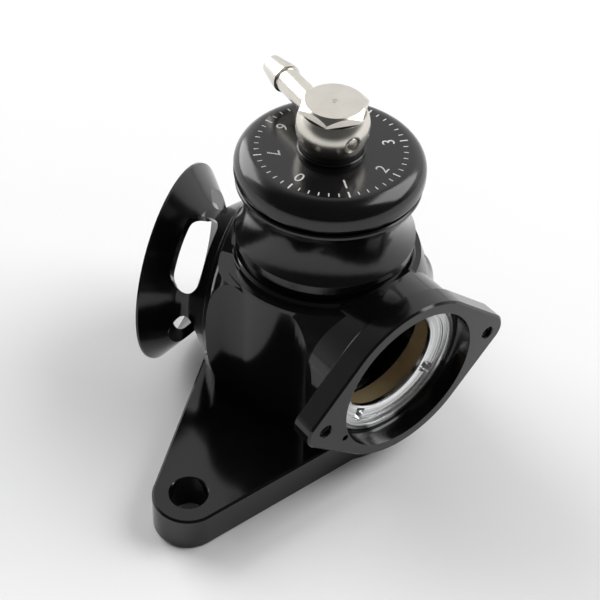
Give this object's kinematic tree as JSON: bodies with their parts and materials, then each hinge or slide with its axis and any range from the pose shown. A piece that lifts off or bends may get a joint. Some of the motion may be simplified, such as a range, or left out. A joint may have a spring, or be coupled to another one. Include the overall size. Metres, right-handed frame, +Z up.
{
  "type": "blow off valve",
  "caption": "Blow off valve with a black billet body on an eared base, a waisted head with an adjuster cap, a slotted outlet trumpet, a flanged side port and a swivelling hose fitting.",
  "frame": {"origin": "centre of the inlet bore on the underside of the base plate", "axes": "+Z up along the valve axis, +X towards the long ear of the base plate"},
  "size_m": [0.1112, 0.085, 0.0887],
  "materials": {
    "black_anodise": "smooth black anodising",
    "bare_aluminium": "turned",
    "nickel_plate": "bright nickel plating",
    "brass": "turned",
    "spring_steel": "plain",
    "rubber": "matte",
    "polymer": "matte"
  },
  "bodies": {
    "base": {"valve_body": "black_anodise", "base_o_ring": "rubber", "seat_ring": "spring_steel", "head": "black_anodise", "head_o_ring": "rubber", "guide_liner": "polymer", "cap_retainer": "spring_steel", "spring": "spring_steel", "trumpet": "black_anodise", "trumpet_o_ring": "rubber", "port_insert": "bare_aluminium", "port_insert_o_ring": "rubber", "port_sleeve": "brass"},
    "piston": {"piston": "black_anodise", "piston_nose_seal": "rubber", "piston_wear_ring": "polymer", "piston_ring_seal": "rubber"},
    "spring_seat": {"spring_seat": "bare_aluminium", "seat_keys": "spring_steel"},
    "cap": {"cap": "black_anodise", "cap_o_ring": "rubber", "lower_washer": "rubber", "banjo_bolt": "nickel_plate", "upper_washer": "rubber"},
    "banjo_eye": {"banjo_eye": "nickel_plate", "eye_plug": "nickel_plate"}
  },
  "joints": [
    {"name": "piston_slide", "type": "slide", "parent": "base", "child": "piston", "axis": [0, 0, 1], "range_m": [0, 0.01], "stiffness_N_per_m": 3000, "springref_m": -0.008, "deforming": ["spring"]},
    {"name": "seat_slide", "type": "slide", "parent": "base", "child": "spring_seat", "axis": [0, 0, 1], "range_m": [0, 0.00187]},
    {"name": "cap_turn", "type": "hinge", "parent": "spring_seat", "child": "cap", "pos_m": [0, 0, 0.0722], "axis": [0, 0, 1], "range_deg": [0, 450]},
    {"name": "banjo_swivel", "type": "hinge", "parent": "cap", "child": "banjo_eye", "pos_m": [0, 0, 0.0822], "axis": [0, 0, 1], "continuous": true}
  ],
  "couplings": [
    {"joint": "seat_slide", "follows": "cap_turn", "m_per_rad": 0.00023873}
  ]
}
